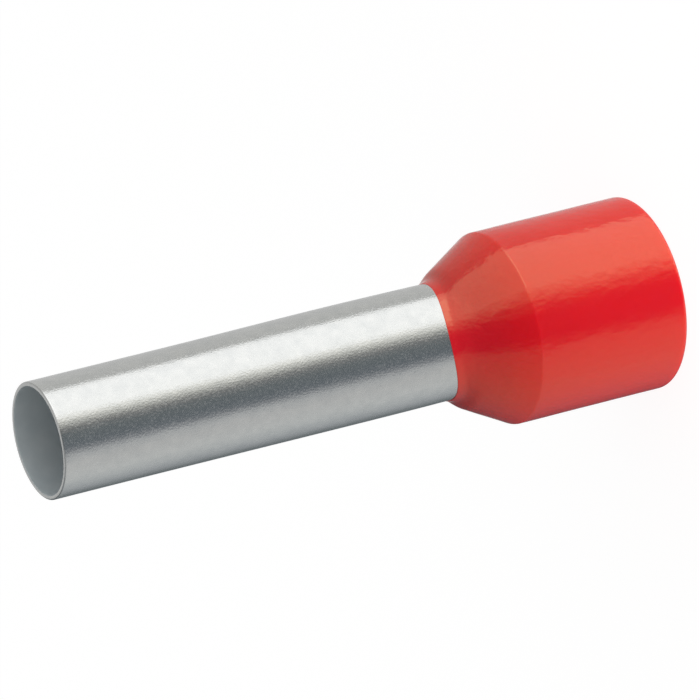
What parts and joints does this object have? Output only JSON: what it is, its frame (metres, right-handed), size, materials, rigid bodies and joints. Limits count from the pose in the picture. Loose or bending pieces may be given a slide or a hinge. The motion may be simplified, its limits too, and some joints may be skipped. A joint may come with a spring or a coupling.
{
  "type": "wire ferrule",
  "caption": "Insulated wire ferrule: a thin tin-plated copper tube, open at both ends, with its flared end held in a red moulded collar that takes in the wire's insulation.",
  "frame": {"origin": "centre of the collar's open rim, where the wire goes in and on which the part stands", "axes": "+Z along the axis of revolution, from the rim towards the mouth of the tube; X and Y are any two directions across it"},
  "size_m": [0.0082, 0.0082, 0.028],
  "materials": {
    "tin_plated_copper": "satin",
    "red_polypropylene": "satin"
  },
  "bodies": {
    "root": {"metal_sleeve": "tin_plated_copper", "plastic_collar": "red_polypropylene"}
  },
  "joints": []
}
